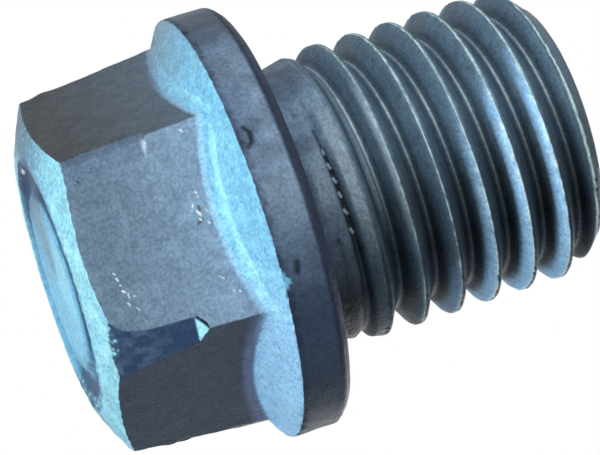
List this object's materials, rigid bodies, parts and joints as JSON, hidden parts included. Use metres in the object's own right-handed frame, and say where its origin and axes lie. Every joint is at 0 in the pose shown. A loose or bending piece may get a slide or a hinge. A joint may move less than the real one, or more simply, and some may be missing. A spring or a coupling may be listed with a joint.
{
  "type": "drain plug",
  "caption": "Hex flange drain plug for an engine's oil sump: tapered hex head, sloping flange with a flat sealing ring, short neck and right-hand fine thread.",
  "frame": {"origin": "centre of the hex head's outer end face, on the plug's axis; the plug stands on that face with its thread up", "axes": "+Z along the axis from the outer end of the head to the tip of the thread; two of the six flats face -Y and +Y and two hex corners point along -X and +X"},
  "size_m": [0.017, 0.017, 0.0206],
  "materials": {
    "phosphated_steel": "dark grey-blue phosphate over forged steel, oiled, with bright edges and scratches where it is worn"
  },
  "bodies": {
    "root": {"drain_plug": "phosphated_steel"}
  },
  "joints": []
}
